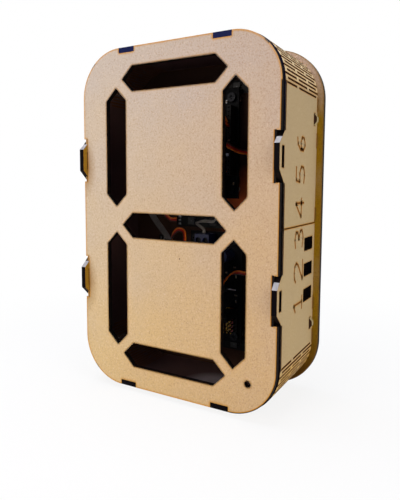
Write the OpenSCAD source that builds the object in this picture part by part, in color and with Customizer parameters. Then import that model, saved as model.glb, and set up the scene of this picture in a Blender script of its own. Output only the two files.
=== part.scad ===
// Large seven segment display: a housing of laser-cut fibreboard with a wrapped living-hinge wall.
// Millimetres, +Z up, +X to the viewer's right, the display face towards -Y.
// The origin is on the ground, under the middle of the whole display.

/* [Sheet and joints] */
// Thickness of the fibreboard that all four panels are cut from
sheet_t = 3; // [2.6:0.1:3.4]
// Gap left round every tab in its notch or slot
fit_gap = 0.1; // [0.05:0.01:0.2]
// Width of the laser's cut in the hinge slots
kerf_w = 0.5; // [0.3:0.05:0.7]

/* [Front plate] */
// Width of the front plate
face_w = 131; // [129:0.5:150]
// Height of the front plate
face_h = 204; // [202:0.5:230]
// Corner radius of the front plate
face_r = 28; // [24:0.5:30]
// Height of the display's centre above the plate's centre
display_up = 1; // [0:0.1:2]
// Length of a window bar from tip to tip
bar_len = 70; // [64:0.5:72]
// Width of a window bar
bar_w = 14.6; // [10:0.1:16]
// Distance of the upright bars from the centre line
bar_x = 39.8; // [37:0.1:42]
// Height of the upright bars' centres from the display's centre
bar_z = 42.9; // [40:0.1:46]
// Height of the top and bottom bars' centres from the display's centre
bar_end_z = 82.7; // [80:0.1:86]
// How far the middle bar sits below the display's centre
bar_mid_drop = 3.2; // [0:0.1:5]
// Diameter of the decimal point's hole
dot_d = 3.6; // [2:0.1:6]
// Distance of the decimal point from the centre line
dot_x = 48.9; // [44:0.1:51]
// Depth of the decimal point below the display's centre
dot_drop = 84.7; // [80:0.1:86]

/* [Side wall] */
// Depth of the wall between the front plate and the back plate
wall_d = 54; // [52:0.5:80]
// How far the wall stands out past the plate's long edges
wall_proud = 0.6; // [0:0.1:1]
// Gap of the seam where the two ends of the wrapped wall meet
seam_w = 0.4; // [0.2:0.1:1]
// Rows of hinge slots in each corner
hinge_rows = 21; // [11:2:25]
// Length of the uncut bridge between the two slots of a row
bridge_len = 3.2; // [2:0.1:6]
// Length of the uncut margin at the closed end of a row
margin_len = 3.3; // [2:0.1:6]
// Length of the short slot of a row
short_slot = 17; // [10:0.5:20]

/* [Wall tabs] */
// Width of the tabs along the top and the bottom
end_tab_w = 11; // [8:0.5:16]
// Distance of those tabs from the centre line
end_tab_x = 31.75; // [26:0.25:33]
// Height of the side tabs where they leave the wall
side_tab_h = 26; // [22:0.5:30]
// Distance of the side tabs from the plate's centre
side_tab_z = 36.8; // [30:0.1:40]
// How far the side tabs reach out in front of the plate
side_tab_out = 3.5; // [2:0.1:5]
// Height of the wedge slot in a side tab
wedge_h = 11; // [6:0.5:12]
// Depth of the wedge slot
wedge_d = 3.4; // [2:0.1:3.8]
// Height of the small tabs that go into the back plate
rear_tab_h = 7; // [5:0.5:8]

/* [Ports] */
// Height of one port
port_h = 7.5; // [5:0.5:10]
// Depth of one port
port_d = 15; // [10:0.5:15.5]
// Distance from one port to the next
port_pitch = 15; // [12:0.5:18]
// Depth of the middle port's centre below the plate's centre
port_drop = 26.5; // [24:0.5:30]

/* [Back and mounting plates] */
// How far the back plate's long edges stand out past the front plate
back_side_out = 4.5; // [3:0.5:8]
// How far the back plate's top and bottom stand out past the front plate
back_end_out = 3; // [2:0.5:8]
// Distance from the back plate to the mounting plate
rear_gap = 3.6; // [3.2:0.1:6]
// Gap between the mounting plate's edge and the wall
inner_gap = 0.15; // [0.1:0.05:0.4]
// Width of a barb that holds the mounting plate in the wall
barb_w = 7.1; // [5:0.1:8]
// How far a barb reaches out of the wall
barb_out = 1.8; // [1:0.1:2.5]
// Distance of the barbs from the plate's centre
barb_z = 61; // [57:0.5:62]

/* [Light strips] */
// Width of a light strip
strip_w = 8; // [6:0.5:9]
// Length of a light strip
strip_len = 58; // [50:1:60]
// Thickness of a light strip
strip_t = 1; // [0.6:0.1:1.2]
// Side of one square light
light_w = 5; // [3.5:0.5:5]
// Height of one light
light_h = 1.6; // [1:0.1:2]
// Distance between lights on a strip
light_pitch = 16.6; // [12:0.1:18]

/* [Circuit boards] */
// Thickness of the two circuit boards
board_t = 1.6; // [1:0.1:2]
// Height of the spacers under them
spacer_h = 5; // [4:0.5:6]
// Outer diameter of the spacers and of the screw heads
spacer_d = 5.5; // [4.5:0.1:5.6]
// Diameter of the holes in spacers, boards and mounting plate
hole_d = 3.2; // [3.1:0.1:3.5]
// Diameter of the screws
screw_d = 2.9; // [2.5:0.1:3]
// Height of a nut, or of a screw head
nut_h = 2.4; // [1.8:0.1:2.6]
// Width of the controller board
control_w = 53.4; // [50:0.2:54]
// Height of the controller board
control_h = 68.6; // [66:0.2:69]
// Width of the driver board
driver_w = 38; // [36:0.5:39]
// Height of the driver board
driver_h = 71; // [70:0.5:71.5]
// Distance of the board holes from the boards' long edges
hole_inset = 4.5; // [4:0.1:5]
// Distance of the controller's holes from its short edges
control_inset = 6; // [5.6:0.1:7]
// Distance of the driver's holes from its short edges
driver_inset = 4.5; // [4.3:0.1:5]

/* [Hidden] */
$fn = 48;

// Depths are counted from the display face: the plate, the wall, then the back plate.
wall_front = sheet_t;
wall_rear = wall_front + wall_d;
depth_all = wall_rear + sheet_t;
mount_rear = wall_rear - rear_gap;
mount_front = mount_rear - sheet_t;
strip_front = mount_front - strip_t;
board_rear = mount_front - spacer_h;
board_front = board_rear - board_t;
depth_mid = (depth_all - side_tab_out) / 2;

back_w = face_w + 2 * back_side_out;
back_h = face_h + 2 * back_end_out;
back_r = face_r + (back_side_out + back_end_out) / 2;

wall_w = face_w + 2 * wall_proud;
wall_x = wall_w / 2;
wall_in = wall_x - sheet_t;
wall_z = face_h / 2;
corner_x = wall_x - face_r;
corner_z = wall_z - face_r;

// Window bars and the strips behind them: across, up, turn.
bar_a = [0, display_up + bar_end_z, 90];
bar_b = [bar_x, display_up + bar_z, 0];
bar_c = [bar_x, display_up - bar_z, 0];
bar_d = [0, display_up - bar_end_z, 90];
bar_e = [-bar_x, display_up - bar_z, 0];
bar_f = [-bar_x, display_up + bar_z, 0];
bar_g = [0, display_up - bar_mid_drop, 90];
bars = [bar_a, bar_b, bar_c, bar_d, bar_e, bar_f, bar_g];
dot_z = display_up - dot_drop;
dot_strip_w = 10;
dot_strip_h = 8;

port_zs = [port_pitch - port_drop, -port_drop, -port_pitch - port_drop];
port_rear = wall_rear - 4;
rear_tab_zs = [70, 49, 5, -49, -70];
bay_d = 16;
bay_margin = 2.8;

// Boards: their left edge, their bottom edge.
control_x = -33;
control_z = 13.7;
driver_x = -14;
driver_z = -79;
pitch = 2.54;
slack = 0.2;

socket_w = 2.5;
socket_h = 8.5;
socket_right_x = control_x + control_w - socket_w;
socket_left_x = control_x + socket_w;
header_x = driver_x + driver_w - 2.2 - 3 * pitch;
plug_x = header_x + 1.5 * pitch;
header_z = -64;
header_count = 6;
header_base = 2.5;
pin_w = 0.64;
pin_len = 8.5;
plug_len = 14;
plug_front = board_front - header_base - plug_len;

module place() {
    translate([0, -depth_mid, back_h / 2]) children();
}

// A flat shape drawn across and up, given its thickness from one depth to the next.
module panel(from, to) {
    translate([0, to, 0]) rotate([90, 0, 0]) linear_extrude(to - from) children();
}

module box_at(x0, x1, y0, y1, z0, z1) {
    translate([x0, y0, z0]) cube([x1 - x0, y1 - y0, z1 - z0]);
}

// A round bar along the depth.
module rod(x, z, from, to, d) {
    translate([x, to, z]) rotate([90, 0, 0]) cylinder(h = to - from, d = d);
}

module round_rect(w, h, r) {
    square([w - 2 * r, h], center = true);
    square([w, h - 2 * r], center = true);
    for (x = [-1, 1], z = [-1, 1])
        translate([x * (w / 2 - r), z * (h / 2 - r)]) circle(r, $fn = 96);
}

module bar_shape(len, w) {
    polygon([[0, len / 2], [w / 2, len / 2 - w / 2], [w / 2, w / 2 - len / 2],
        [0, -len / 2], [-w / 2, w / 2 - len / 2], [-w / 2, len / 2 - w / 2]]);
}

module at_bar(bar) {
    translate([bar[0], bar[1]]) rotate(bar[2]) children();
}

module front_plate() {
    color("tan") place() panel(0, sheet_t) difference() {
        round_rect(face_w, face_h, face_r);
        for (bar = bars) at_bar(bar) bar_shape(bar_len, bar_w);
        translate([dot_x, dot_z]) circle(d = dot_d);
        for (x = [-1, 1], z = [-1, 1]) {
            translate([x * end_tab_x, z * wall_z])
                square([end_tab_w + 2 * fit_gap, 2 * (sheet_t + fit_gap)], center = true);
            translate([x * wall_x, z * side_tab_z])
                square([2 * (sheet_t + fit_gap), side_tab_h + 2 * fit_gap], center = true);
        }
    }
}

// One row of hinge slots across the wall. Odd rows start as even rows end.
module hinge_row(odd) {
    long_end = wall_rear - margin_len;
    first = odd ? wall_front + margin_len : wall_front - 1;
    bridge = odd ? wall_rear - short_slot - bridge_len : wall_front + short_slot;
    last = odd ? wall_rear + 1 : long_end;
    reach = face_r + 1;
    inside = face_r - sheet_t - 1;
    box_at(inside, reach, first, bridge, -kerf_w / 2, kerf_w / 2);
    box_at(inside, reach, bridge + bridge_len, last, -kerf_w / 2, kerf_w / 2);
}

module side_tab() {
    slope = side_tab_out + sheet_t;
    translate([-sheet_t, 0, 0]) rotate([90, 0, 90]) linear_extrude(sheet_t) difference() {
        polygon([[sheet_t, -side_tab_h / 2], [sheet_t, side_tab_h / 2],
            [-side_tab_out, side_tab_h / 2 - slope], [-side_tab_out, slope - side_tab_h / 2]]);
        translate([sheet_t - wedge_d, -wedge_h / 2]) square([wedge_d, wedge_h]);
    }
}

module side_wall() {
    color("burlywood") place() {
        difference() {
            panel(wall_front, wall_rear) difference() {
                round_rect(wall_w, face_h, face_r);
                round_rect(wall_w - 2 * sheet_t, face_h - 2 * sheet_t, face_r - sheet_t);
            }
            for (x = [-1, 1], z = [-1, 1], row = [0:hinge_rows - 1])
                translate([x * corner_x, 0, z * corner_z]) mirror([x < 0 ? 1 : 0, 0, 0])
                    rotate([0, -z * row * 90 / (hinge_rows - 1), 0]) hinge_row(row % 2 == 1);
            for (z = port_zs)
                box_at(wall_in - 1, wall_x + 1, port_rear - port_d, port_rear, z - port_h / 2, z + port_h / 2);
            for (x = [-1, 1], z = [-1, 1])
                translate([x * (wall_x - sheet_t / 2), (mount_front + mount_rear) / 2, z * barb_z])
                    cube([sheet_t + 2, sheet_t + 2 * fit_gap, barb_w + 2 * fit_gap], center = true);
            box_at(wall_in - 1, wall_x + 1, wall_front - 1, wall_rear + 1, -seam_w / 2, seam_w / 2);
        }
        for (x = [-1, 1], z = [-1, 1]) {
            translate([x * end_tab_x - end_tab_w / 2, 0, z * (wall_z - sheet_t / 2) - sheet_t / 2])
                cube([end_tab_w, sheet_t, sheet_t]);
            translate([x * end_tab_x - end_tab_w / 2, wall_rear, z * (wall_z - sheet_t / 2) - sheet_t / 2])
                cube([end_tab_w, sheet_t, sheet_t]);
            translate([x < 0 ? -wall_in : wall_x, 0, z * side_tab_z]) side_tab();
        }
        for (x = [-wall_x, wall_in], z = rear_tab_zs)
            translate([x, wall_rear, z - rear_tab_h / 2]) cube([sheet_t, sheet_t, rear_tab_h]);
    }
}

module barb() {
    root = wall_in - inner_gap - 1;
    polygon([[root, -barb_w / 2], [wall_x, -barb_w / 2], [wall_x + barb_out, -barb_w / 6],
        [wall_x + barb_out, barb_w / 6], [wall_x, barb_w / 2], [root, barb_w / 2]]);
}

// Places of the screws in both boards.
function board_holes(x, z, w, h, inset) = [for (i = [hole_inset, w - hole_inset], j = [inset, h - inset])
    [x + i, z + j]];
holes = concat(board_holes(control_x, control_z, control_w, control_h, control_inset),
    board_holes(driver_x, driver_z, driver_w, driver_h, driver_inset));

module mounting_plate() {
    plate_w = wall_w - 2 * (sheet_t + inner_gap);
    plate_h = face_h - 2 * (sheet_t + inner_gap);
    bay_top = port_zs[0] + port_h / 2 + bay_margin;
    bay_low = port_zs[2] - port_h / 2 - bay_margin;
    color("peru") place() panel(mount_front, mount_rear) difference() {
        union() {
            round_rect(plate_w, plate_h, face_r - sheet_t - inner_gap);
            for (z = [-1, 1]) translate([0, z * barb_z]) {
                barb();
                rotate(180) barb();
            }
        }
        translate([wall_in - bay_d, bay_low]) square([bay_d + 1, bay_top - bay_low]);
        for (hole = holes) translate(hole) circle(d = hole_d);
    }
}

module back_plate() {
    color("tan") place() panel(wall_rear, depth_all) difference() {
        round_rect(back_w, back_h, back_r);
        for (x = [-1, 1], z = [-1, 1])
            translate([x * end_tab_x, z * (wall_z - sheet_t / 2)])
                square([end_tab_w + 2 * fit_gap, sheet_t + 2 * fit_gap], center = true);
        for (x = [-1, 1], z = rear_tab_zs)
            translate([x * (wall_x - sheet_t / 2), z])
                square([sheet_t + 2 * fit_gap, rear_tab_h + 2 * fit_gap], center = true);
    }
}

module strip(bar) {
    color("darkslategray") place() panel(strip_front, mount_front) at_bar(bar)
        square([strip_w, strip_len], center = true);
}

module light(from) {
    difference() {
        panel(from, strip_front) square(light_w, center = true);
        rod(0, 0, from - 1, from + 0.3, light_w - 1);
    }
}

module lights(bar) {
    color("white") place() for (i = [-1, 0, 1])
        translate([bar[0], 0, bar[1]]) rotate([0, -bar[2], 0]) translate([0, 0, i * light_pitch])
            light(strip_front - light_h);
}

module strip_dot() {
    color("darkslategray") place() translate([dot_x, 0, dot_z])
        panel(strip_front, mount_front) square([dot_strip_w, dot_strip_h], center = true);
}

module light_dot() {
    color("white") place() translate([dot_x, 0, dot_z]) light(strip_front - light_h);
}

module board(x, z, w, h) {
    panel(board_front, board_rear) difference() {
        translate([x, z]) square([w, h]);
        for (hole = holes) translate(hole) circle(d = hole_d);
    }
}

module controller_board() {
    color("midnightblue") place() board(control_x, control_z, control_w, control_h);
}

// Rows of sockets along both long edges, with a square hole for each pin.
module socket_strips() {
    groups = [[socket_left_x, 28, 8], [socket_left_x, 50, 8], [socket_right_x, 28, 8], [socket_right_x, 50, 8]];
    color("black") place() for (g = groups) difference() {
        box_at(g[0] - socket_w / 2, g[0] + socket_w / 2, board_front - socket_h, board_front,
            g[1], g[1] + g[2] * pitch);
        for (i = [0:g[2] - 1])
            translate([g[0], board_front - socket_h, g[1] + (i + 0.5) * pitch])
                cube([pin_w + slack, 2 * 6, pin_w + slack], center = true);
    }
}

// A chip with a notch at its upper end, standing clear of the board on its legs.
module chip(x, z, w, h, t, lift) {
    difference() {
        box_at(x - w / 2, x + w / 2, board_front - lift - t, board_front - lift, z - h / 2, z + h / 2);
        rod(x, z + h / 2, board_front - lift - t - 1, board_front - lift - t + 0.6, 2.4);
    }
}

module chip_legs(x, z, w, count, step, reach, lift, leg_w) {
    for (side = [-1, 1], i = [0:count - 1])
        translate([x + side * w / 2, 0, z + (i - (count - 1) / 2) * step]) mirror([side < 0 ? 1 : 0, 0, 0]) {
            box_at(0, reach, board_front - lift - 0.25, board_front - lift, -leg_w / 2, leg_w / 2);
            box_at(reach - 0.25, reach, board_front - lift, board_front, -leg_w / 2, leg_w / 2);
        }
}

control_chip = [-6, 48];
control_chip_size = [7, 35.5];
control_chip_lift = 1.2;
driver_chip_at = [-4, -46];
driver_chip_size = [7.5, 18];
driver_chip_lift = 0.4;

module controller_chip() {
    color("dimgray") place() chip(control_chip[0], control_chip[1],
        control_chip_size[0], control_chip_size[1], 3.3, control_chip_lift);
}

module controller_legs() {
    color("silver") place() chip_legs(control_chip[0], control_chip[1],
        control_chip_size[0], 14, pitch, 0.6, control_chip_lift, 1);
}

module usb_socket() {
    w = 12;
    h = 10.9;
    len = 16;
    wall = 0.6;
    x = control_x + 8;
    low = control_z - 6;
    color("silver") place() difference() {
        box_at(x, x + w, board_front - h, board_front, low, low + len);
        box_at(x + wall, x + w - wall, board_front - h + wall, board_front - wall, low - 1, low + len - 5);
    }
}

module power_jack() {
    w = 9;
    h = 11;
    x = control_x + control_w - 17;
    low = control_z - 1.8;
    color("black") place() difference() {
        union() {
            box_at(x, x + w, board_front - h, board_front, low, low + 3.5);
            box_at(x, x + w, board_front - h / 2, board_front, low + 3.5, low + 14);
            translate([x + w / 2, board_front - h / 2, low + 3.5]) cylinder(h = 10.5, d = w);
        }
        translate([x + w / 2, board_front - h / 2, low - 1]) cylinder(h = 10, d = 6.3);
    }
}

module can(x, z, d, h) {
    rod(x, z, board_front - h, board_front, d);
}

module board_capacitors() {
    color("silver") place() for (z = [32.5, 40.5]) can(10, z, 6.3, 5.4);
}

module crystal_can(x, z, turn) {
    translate([x, 0, z]) rotate([0, turn, 0]) for (s = [-1, 1]) {
        rod(s * 3.2, 0, board_front - 3.5, board_front, 4.6);
        box_at(-3.2, 3.2, board_front - 3.5, board_front, -2.3, 2.3);
    }
}

module crystal() {
    color("silver") place() {
        crystal_can(-19, 34, 0);
        crystal_can(9.4, -44, 0);
    }
}

module driver_board() {
    color("midnightblue") place() board(driver_x, driver_z, driver_w, driver_h);
}

module driver_chip() {
    color("dimgray") place() chip(driver_chip_at[0], driver_chip_at[1],
        driver_chip_size[0], driver_chip_size[1], 2.3, driver_chip_lift);
}

module driver_legs() {
    color("silver") place() chip_legs(driver_chip_at[0], driver_chip_at[1],
        driver_chip_size[0], 14, 1.27, 1.4, driver_chip_lift, 0.4);
}

// Screw terminal for the supply, at the driver board's upper left corner.
term_x = driver_x + 9;
term_w = 10.2;
term_d = 8;
term_h = 10;
term_low = driver_z + driver_h - 1 - term_d;

module terminal_block() {
    color("royalblue") place() difference() {
        box_at(term_x, term_x + term_w, board_front - term_h, board_front, term_low, term_low + term_d);
        for (i = [0.25, 0.75]) {
            rod(term_x + i * term_w, term_low + term_d / 2, board_front - term_h - 1, board_front - term_h + 5, 4);
            box_at(term_x + i * term_w - 1.5, term_x + i * term_w + 1.5,
                board_front - 4.4, board_front - 1.4, term_low + term_d - 4, term_low + term_d + 1);
        }
    }
}

module terminal_screws() {
    color("silver") place() for (i = [0.25, 0.75]) difference() {
        rod(term_x + i * term_w, term_low + term_d / 2, board_front - term_h + 1.5, board_front - term_h + 5, 3.8);
        translate([term_x + i * term_w, board_front - term_h + 1.5, term_low + term_d / 2])
            cube([5, 1.2, 0.7], center = true);
    }
}

module driver_capacitor() {
    color("navy") place() can(driver_x + 29, driver_z + driver_h - 14, 8, 11.5);
}

// One coloured row of the three-row header. Pins pass through it to the board.
module header_row(i) {
    difference() {
        box_at(header_x + i * pitch, header_x + (i + 1) * pitch, board_front - header_base, board_front,
            header_z - header_count / 2 * pitch, header_z + header_count / 2 * pitch);
        for (j = [0:header_count - 1])
            translate([header_x + (i + 0.5) * pitch, board_front - header_base / 2, pin_z(j)])
                cube([pin_w + slack, header_base + 1, pin_w + slack], center = true);
    }
}

function pin_z(j) = header_z + ((header_count - 1) / 2 - j) * pitch;

module header_signal() { color("gold") place() header_row(0); }
module header_power() { color("red") place() header_row(1); }
module header_ground() { color("black") place() header_row(2); }

module header_pins() {
    color("gold") place() for (i = [0:2], j = [0:header_count - 1])
        translate([header_x + (i + 0.5) * pitch, board_front - pin_len / 2, pin_z(j)])
            cube([pin_w, pin_len, pin_w], center = true);
}

// Three-way plugs on the first two channels of the header.
module lead_plugs() {
    color("black") place() for (j = [0, 1]) difference() {
        translate([plug_x, plug_front + plug_len / 2, pin_z(j)])
            cube([3 * pitch - slack, plug_len, pitch - slack], center = true);
        for (i = [0:2])
            translate([header_x + (i + 0.5) * pitch, plug_front + plug_len, pin_z(j)])
                cube([pin_w + slack, 2 * (pin_len - header_base + slack), pin_w + slack], center = true);
    }
}

module board_spacers() {
    color("ivory") place() for (hole = holes) difference() {
        rod(hole[0], hole[1], board_rear, mount_front, spacer_d);
        rod(hole[0], hole[1], board_rear - 1, mount_front + 1, hole_d);
    }
}

module board_screws() {
    head_front = board_front - nut_h + 0.4;
    color("silver") place() for (hole = holes) difference() {
        union() {
            rod(hole[0], hole[1], head_front, board_front, spacer_d);
            rod(hole[0], hole[1], board_front, mount_rear + nut_h, screw_d);
        }
        for (turn = [0, 90]) translate([hole[0], head_front, hole[1]]) rotate([0, turn, 0])
            cube([3, 2, 0.7], center = true);
    }
}

module board_nuts() {
    color("silver") place() for (hole = holes) difference() {
        translate([hole[0], mount_rear + nut_h, hole[1]]) rotate([90, 0, 0]) cylinder(h = nut_h, d = 6.3, $fn = 6);
        rod(hole[0], hole[1], mount_rear - 1, mount_rear + nut_h + 1, screw_d + slack);
    }
}

// Leads: a smooth path through chosen points, and a flat band of round wires swept along it.
function unit(v) = v / norm(v);
function clip(p, i) = p[max(0, min(len(p) - 1, i))];
function along(p, i, t) = let (a = clip(p, i - 1), b = p[i], c = clip(p, i + 1), d = clip(p, i + 2))
    0.5 * (2 * b + (c - a) * t + (2 * a - 5 * b + 4 * c - d) * t * t + (3 * b - 3 * c + d - a) * t * t * t);
function heading(p, i, t) = let (a = clip(p, i - 1), b = p[i], c = clip(p, i + 1), d = clip(p, i + 2))
    unit(0.5 * ((c - a) + 2 * (2 * a - 5 * b + 4 * c - d) * t + 3 * (3 * b - 3 * c + d - a) * t * t));

wire_r = 0.55;
wire_gap = 1.05;
wire_turns = [45, 90, 135];

// Outline of the band: the upper arcs from right to left, then the lower arcs back.
function band(count) = let (half = (count - 1) / 2) concat(
    [[half * wire_gap + wire_r, 0]],
    [for (k = [0:count - 1], a = wire_turns) [(half - k) * wire_gap + wire_r * cos(a), wire_r * sin(a)]],
    [[-half * wire_gap - wire_r, 0]],
    [for (k = [0:count - 1], a = wire_turns) [(k - half) * wire_gap - wire_r * cos(a), -wire_r * sin(a)]]);

module lead(points, side_from, side_to, count) {
    steps = 4;
    spans = len(points) - 1;
    ring = band(count);
    n = len(ring);
    stations = concat([for (i = [0:spans - 1], s = [0:steps - 1]) [i, s / steps]], [[spans - 1, 1]]);
    m = len(stations);
    body = [for (k = [0:m - 1]) let (
        st = stations[k], c = along(points, st[0], st[1]), t = heading(points, st[0], st[1]),
        mix = side_from * (1 - k / (m - 1)) + side_to * k / (m - 1),
        u = unit(mix - (mix * t) * t), v = cross(t, u))
        for (q = ring) c + q[0] * u + q[1] * v];
    sides = [for (k = [0:m - 2], j = [0:n - 1]) let (a = k * n + j, b = k * n + (j + 1) % n)
        each [[a, a + n, b], [b, a + n, b + n]]];
    polyhedron(points = body, faces = concat(sides, [[for (j = [0:n - 1]) j]],
        [[for (j = [0:n - 1]) m * n - 1 - j]]), convexity = 6);
}

across = [1, 0, 0];
up = [0, 0, 1];
low = mount_front - wire_r - 0.3;
end = strip_len / 2;
edge = strip_w / 2;

// From the upper bar's strip round the corner to the upper right strip.
module lead_a() {
    color("orangered") place() lead([[end, low, bar_a[1]], [end + 2, low, bar_a[1]],
        [end + 7, low - 0.5, bar_a[1] - 0.8], [bar_x - 0.8, low - 0.5, bar_b[1] + end + 7],
        [bar_x, low, bar_b[1] + end + 2], [bar_x, low, bar_b[1] + end]], up, across, 3);
}

// From the controller's right sockets to the upper right strip.
module lead_b() {
    color("orangered") place() lead([[socket_right_x, board_front - socket_h, 46.5], [socket_right_x, 32, 46.5], [22, 29.5, 46],
        [28, 33, 45], [31, 41.5, 43.5], [32.2, 47, 41.5], [33.8, low, 40.5], [bar_x - edge, low, 40.5]], up, up, 3);
}

// From the first plug to the lower right strip.
module lead_c() {
    color("orangered") place() lead([[plug_x, plug_front, pin_z(0)], [plug_x, 23, pin_z(0)],
        [18.4, 21.5, -49], [18.6, 27, -38], [21, 37, -32.5], [28, 41, -33], [31.6, 46.4, -35],
        [33.8, low, -36], [bar_x - edge, low, -36]], across, up, 3);
}

// From the lower right strip round the corner to the bottom bar's strip.
module lead_d() {
    color("orangered") place() lead([[bar_x, low, bar_c[1] - end], [bar_x, low, bar_c[1] - end - 2],
        [bar_x - 0.8, low - 0.5, bar_c[1] - end - 7], [end + 7, low - 0.5, bar_d[1] + 0.8],
        [end + 2, low, bar_d[1]], [end, low, bar_d[1]]], -across, up, 3);
}

// From the second plug over the driver board to the lower left strip.
module lead_e() {
    color("orangered") place() lead([[plug_x, plug_front, pin_z(1)], [plug_x, 22.5, pin_z(1)],
        [14, 19, -58], [2, 20, -48], [-9, 24, -30], [-14, 36, -15], [-18.5, 41.5, -9], [-24, 42, -8.5],
        [-29, 43, -14.5], [-32, 47.4, -21.5], [-33.8, low, -24], [bar_e[0] + edge, low, -24]], across, up, 3);
}

// From the controller's right sockets across the board to the upper left strip.
module lead_f() {
    color("orangered") place() lead([[socket_right_x, board_front - socket_h, 58], [socket_right_x, 32, 58],
        [17, 31, 61.5], [11, 35, 66], [0, 34, 66.5], [-15, 32, 68.5], [-29, 31, 75], [-36, 39, 79],
        [-39.6, 46.5, 79], [bar_f[0], low, bar_f[1] + end + 2], [bar_f[0], low, bar_f[1] + end]], up, across, 3);
}

// From the upper left strip round the corner to the middle bar's strip.
module lead_g() {
    color("orangered") place() lead([[-bar_x, low, bar_f[1] - end], [-bar_x, low, bar_f[1] - end - 2],
        [-bar_x + 0.4, low - 0.5, bar_g[1] + 6], [-end - 6, low - 0.5, bar_g[1] + 0.6],
        [-end - 2, low, bar_g[1]], [-end, low, bar_g[1]]], across, up, 3);
}

// From the lower right strip to the decimal point's light.
module lead_dot() {
    color("orangered") place() lead([[bar_x + edge, low, -62], [bar_x + edge + 2.8, low, -62],
        [dot_x + 0.4, low - 0.4, -67.5], [dot_x, low, dot_z + dot_strip_h / 2 + 2],
        [dot_x, low, dot_z + dot_strip_h / 2]], up, across, 3);
}

// Grey ribbon that links the two boards.
module link_ribbon() {
    color("gray") place() lead([[socket_left_x, board_front - socket_h, 32], [socket_left_x, 31, 32], [-33.5, 27.5, 27],
        [-38, 30, 13], [-37.6, 33.5, 1.5], [-26, 34, -12.5], [-18, 33, -24], [-12.5, 33.5, -31],
        [-11.5, 38, -33.5], [-11.5, board_front, -33.5]], up, up, 4);
}

// Pale twin lead that carries the supply up from the screw terminal.
module power_lead() {
    color("gainsboro") place() lead([[term_x + term_w / 4, board_front - 2.9, term_low + term_d],
        [term_x + term_w / 4, board_front - 2.9, -6.5], [-6, 38, -2.5], [1, 35, -0.6], [8, 35, -0.5],
        [9.5, 36, 4], [3, 35, 10], [-3, 35.5, 16], [-4, 38.5, 18], [-4, board_front, 18]], across, up, 2);
}

front_plate();
side_wall();
mounting_plate();
back_plate();
strip(bar_a);  // strip_a
strip(bar_b);  // strip_b
strip(bar_c);  // strip_c
strip(bar_d);  // strip_d
strip(bar_e);  // strip_e
strip(bar_f);  // strip_f
strip(bar_g);  // strip_g
strip_dot();
lights(bar_a);  // lights_a
lights(bar_b);  // lights_b
lights(bar_c);  // lights_c
lights(bar_d);  // lights_d
lights(bar_e);  // lights_e
lights(bar_f);  // lights_f
lights(bar_g);  // lights_g
light_dot();
controller_board();
socket_strips();
controller_chip();
controller_legs();
usb_socket();
power_jack();
board_capacitors();
crystal();
driver_board();
driver_chip();
driver_legs();
terminal_block();
terminal_screws();
driver_capacitor();
header_signal();
header_power();
header_ground();
header_pins();
lead_plugs();
board_spacers();
board_screws();
board_nuts();
lead_a();
lead_b();
lead_c();
lead_d();
lead_e();
lead_f();
lead_g();
lead_dot();
link_ribbon();
power_lead();
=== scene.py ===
import itertools
import math
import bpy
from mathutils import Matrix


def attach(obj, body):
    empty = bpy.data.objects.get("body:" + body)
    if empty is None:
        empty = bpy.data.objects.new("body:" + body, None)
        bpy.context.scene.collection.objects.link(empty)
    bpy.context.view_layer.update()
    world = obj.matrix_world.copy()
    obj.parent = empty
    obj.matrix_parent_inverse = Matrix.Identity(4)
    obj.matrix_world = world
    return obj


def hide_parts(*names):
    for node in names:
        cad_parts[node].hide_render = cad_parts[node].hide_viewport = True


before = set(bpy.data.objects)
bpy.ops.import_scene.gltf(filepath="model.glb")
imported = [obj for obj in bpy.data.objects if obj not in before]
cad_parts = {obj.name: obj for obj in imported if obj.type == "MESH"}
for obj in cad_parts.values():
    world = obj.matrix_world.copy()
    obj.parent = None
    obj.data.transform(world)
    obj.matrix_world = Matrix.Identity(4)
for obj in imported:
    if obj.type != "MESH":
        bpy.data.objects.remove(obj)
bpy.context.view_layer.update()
from types import SimpleNamespace
import bmesh
import bpy
from mathutils import Matrix, Vector

# Camera: in front of the display and to its right, a little above the middle, as a person at a table sees it.
# The lens is shifted a little, which places the display in the frame.
camera_data = bpy.data.cameras.new("camera")
camera_data.lens = 33.99
camera_data.shift_x = -0.0349
camera_data.shift_y = -0.0546
camera_data.clip_start = 0.01
camera = bpy.data.objects.new("camera", camera_data)
camera.location = (0.15112, -0.25058, 0.12825)
camera.rotation_euler = [math.radians(a) for a in (85.218, -0.475, 28.644)]
bpy.context.scene.collection.objects.link(camera)
bpy.context.scene.camera = camera
bpy.context.scene.view_settings.view_transform = "Standard"


# Studio: a white floor and three soft lamps. The world is white to the camera and in what metal and silicone
# mirror, and dim for everything else, warmer below than above.
def linear(code, alpha=1.0):
    """An sRGB hex colour as linear RGBA."""
    parts = [int(code[i:i + 2], 16) / 255 for i in (1, 3, 5)]
    return [c / 12.92 if c <= 0.04045 else ((c + 0.055) / 1.055) ** 2.4 for c in parts] + [alpha]


def add(tree, kind, sockets=None, out=0, **settings):
    """Adds a node with its settings, values, hex colours and links, and returns one of its outputs."""
    # Sockets go by name or number. A colour Mix has its share in 0 and its colours in 6 and 7. A MapRange has
    # its value in 0, the range that it comes from in 1 and 2, and the range that it goes to in 3 and 4.
    node = tree.nodes.new("ShaderNode" + kind)
    for name, value in settings.items():
        setattr(node, name, value)
    for key, value in (sockets or {}).items():
        if isinstance(value, bpy.types.NodeSocket):
            tree.links.new(value, node.inputs[key])
        else:
            node.inputs[key].default_value = linear(value) if isinstance(value, str) else value
    return node.outputs[out]


def seen_as_background(tree):
    """One for the camera's own rays and those that shiny or clear surfaces pass on, and zero for others."""
    camera_ray, glossy_ray, clear_ray = (add(tree, "LightPath", out=k) for k in (0, 3, 6))
    seen = add(tree, "Math", {0: camera_ray, 1: glossy_ray}, operation="MAXIMUM")
    return add(tree, "Math", {0: seen, 1: clear_ray}, operation="MAXIMUM")


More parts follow.
